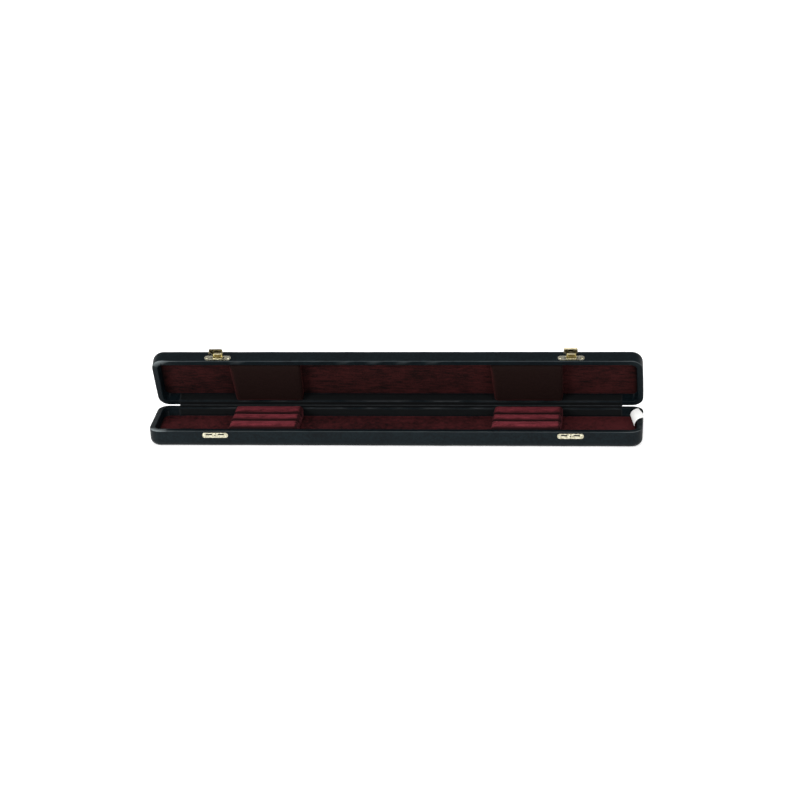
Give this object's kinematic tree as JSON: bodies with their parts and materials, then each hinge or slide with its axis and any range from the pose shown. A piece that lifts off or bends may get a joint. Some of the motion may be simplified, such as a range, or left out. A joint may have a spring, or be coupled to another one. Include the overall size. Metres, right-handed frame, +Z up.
{
  "type": "conductor baton case",
  "caption": "Long narrow hard case with rounded corners, shown open: shallow base and lid lined in velvet, padded baton rests, brass lever latches in front and a cloth hinge strip behind.",
  "frame": {"origin": "middle of the base's flat bottom, on the surface it rests on", "axes": "+X along the length to the viewer's right, +Y from the latches to the hinge, +Z up; the lid stands open 65 degrees above the base as in the picture"},
  "size_m": [0.453, 0.0732, 0.0853],
  "materials": {
    "leatherette": "fine grained, satin",
    "floor_velvet": "dark wine short-pile velvet",
    "rest_velvet": "burgundy short-pile velvet",
    "lid_pad_velvet": "dark brown velvet in shade",
    "brass": "pale polished brass plating",
    "steel": "plain steel",
    "strip_cloth": "black woven tape",
    "paper": "plain white paper, matt",
    "wood": "plain sawn plywood, hidden",
    "felt_board": "pressed card and felt, hidden",
    "foam": "soft foam, hidden"
  },
  "bodies": {
    "base": {"base_cover": "leatherette", "base_wall_frame": "wood", "base_board": "wood", "base_floor_pad": "felt_board", "base_floor_velvet": "floor_velvet", "left_rest_core": "wood", "right_rest_core": "wood", "left_rest_velvet": "rest_velvet", "right_rest_velvet": "rest_velvet", "left_keeper": "brass", "right_keeper": "brass", "keeper_nails": "brass", "hinge_strip_base_leaf": "strip_cloth", "hinge_strip_fold": "strip_cloth", "end_tag": "paper"},
    "lid": {"lid_cover": "leatherette", "lid_wall_frame": "wood", "lid_board": "wood", "lid_floor_card": "felt_board", "lid_floor_velvet": "floor_velvet", "left_lid_pad_foam": "foam", "left_lid_pad_velvet": "lid_pad_velvet", "left_latch_plate": "brass", "left_latch_pin": "steel", "left_latch_spring": "steel", "right_lid_pad_foam": "foam", "right_lid_pad_velvet": "lid_pad_velvet", "right_latch_plate": "brass", "right_latch_pin": "steel", "right_latch_spring": "steel", "latch_nails": "brass", "hinge_strip_lid_leaf": "strip_cloth"},
    "left_lever": {"left_latch_lever": "brass"},
    "right_lever": {"right_latch_lever": "brass"}
  },
  "joints": [
    {"name": "lid_hinge", "type": "hinge", "parent": "base", "child": "lid", "pos_m": [0, 0.02975, 0.01665], "axis": [1, 0, 0], "range_deg": [0, 65.1], "deforming": ["hinge_strip_fold", "end_tag"]},
    {"name": "left_latch_lever_hinge", "type": "hinge", "parent": "lid", "child": "left_lever", "pos_m": [-0.163, 0.0103, 0.07599], "axis": [1, 0, 0], "range_deg": [-50, 55]},
    {"name": "right_latch_lever_hinge", "type": "hinge", "parent": "lid", "child": "right_lever", "pos_m": [0.1607, 0.0103, 0.07599], "axis": [1, 0, 0], "range_deg": [-45, 60]}
  ]
}
